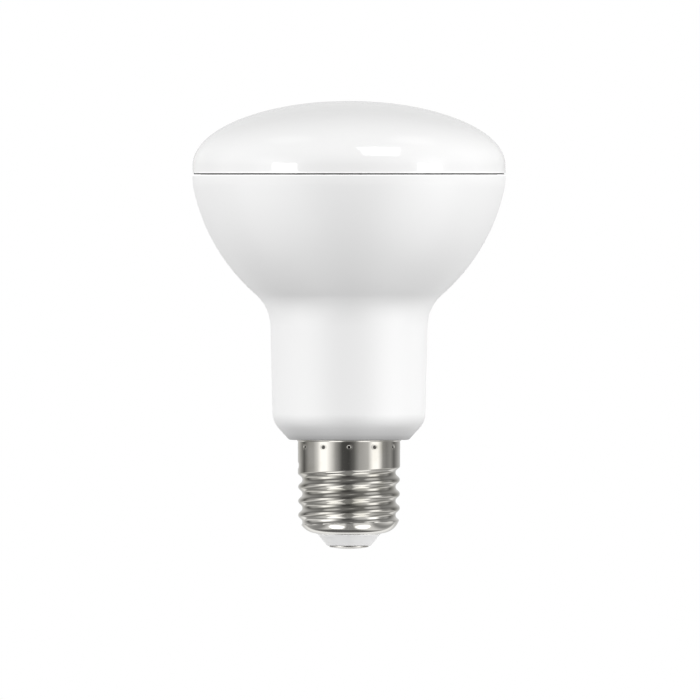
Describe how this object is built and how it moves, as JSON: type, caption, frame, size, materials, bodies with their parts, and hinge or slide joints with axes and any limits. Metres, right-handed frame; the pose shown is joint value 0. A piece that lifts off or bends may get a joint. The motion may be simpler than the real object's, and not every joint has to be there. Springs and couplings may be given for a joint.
{
  "type": "reflector bulb",
  "caption": "LED reflector lamp with a low opal dome on a bowl-shaped white housing, a plain neck and a rolled screw cap with insulator and centre contact.",
  "frame": {"origin": "tip of the centre contact, where the lamp meets the bottom of its lampholder", "axes": "+Z along the lamp's axis, from the contact to the crown of the cover; the thread's lowest whole crest crosses +X"},
  "size_m": [0.08, 0.08, 0.1145],
  "materials": {
    "opal_plastic": "gloss opal",
    "white_plastic": "satin",
    "nickel_shell": "bright nickel plate",
    "insulator_plastic": "satin",
    "contact_metal": "tinned"
  },
  "bodies": {
    "root": {"diffuser_cover": "opal_plastic", "housing": "white_plastic", "cap_shell": "nickel_shell", "cap_insulator": "insulator_plastic", "centre_contact": "contact_metal"}
  },
  "joints": []
}
